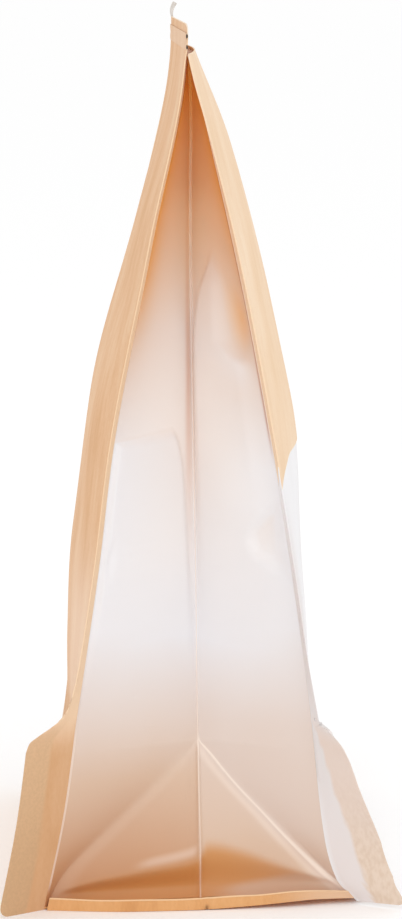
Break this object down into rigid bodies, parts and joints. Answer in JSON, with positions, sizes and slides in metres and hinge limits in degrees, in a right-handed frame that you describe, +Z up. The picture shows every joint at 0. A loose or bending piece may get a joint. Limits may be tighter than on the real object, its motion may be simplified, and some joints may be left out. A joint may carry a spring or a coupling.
{
  "type": "tin tie bag",
  "caption": "Empty flat-bottomed paper bag with film side folds, flared feet, a film window and a tin tie along its header.",
  "frame": {"origin": "on the floor, under the middle of the bag's box", "axes": "+Z up along the bag's height, +X out of the front panel, +Y along the bag's width"},
  "size_m": [0.1119, 0.163, 0.2554],
  "materials": {
    "side_film": "satin white film, warm towards the mouth and base",
    "kraft": "uncoated kraft paper, fine fibres",
    "window_film": "frosted white film",
    "tie_paper": "paper-covered strip",
    "tie_wire": "dark wire, cut ends"
  },
  "bodies": {
    "root": {"film_body": "side_film", "back_panel": "kraft", "front_panel": "kraft", "front_window": "window_film", "base_panel": "kraft", "tie_band": "tie_paper", "tie_wire_lower": "tie_wire", "tie_wire_upper": "tie_wire", "lining_curl": "side_film"}
  },
  "joints": []
}
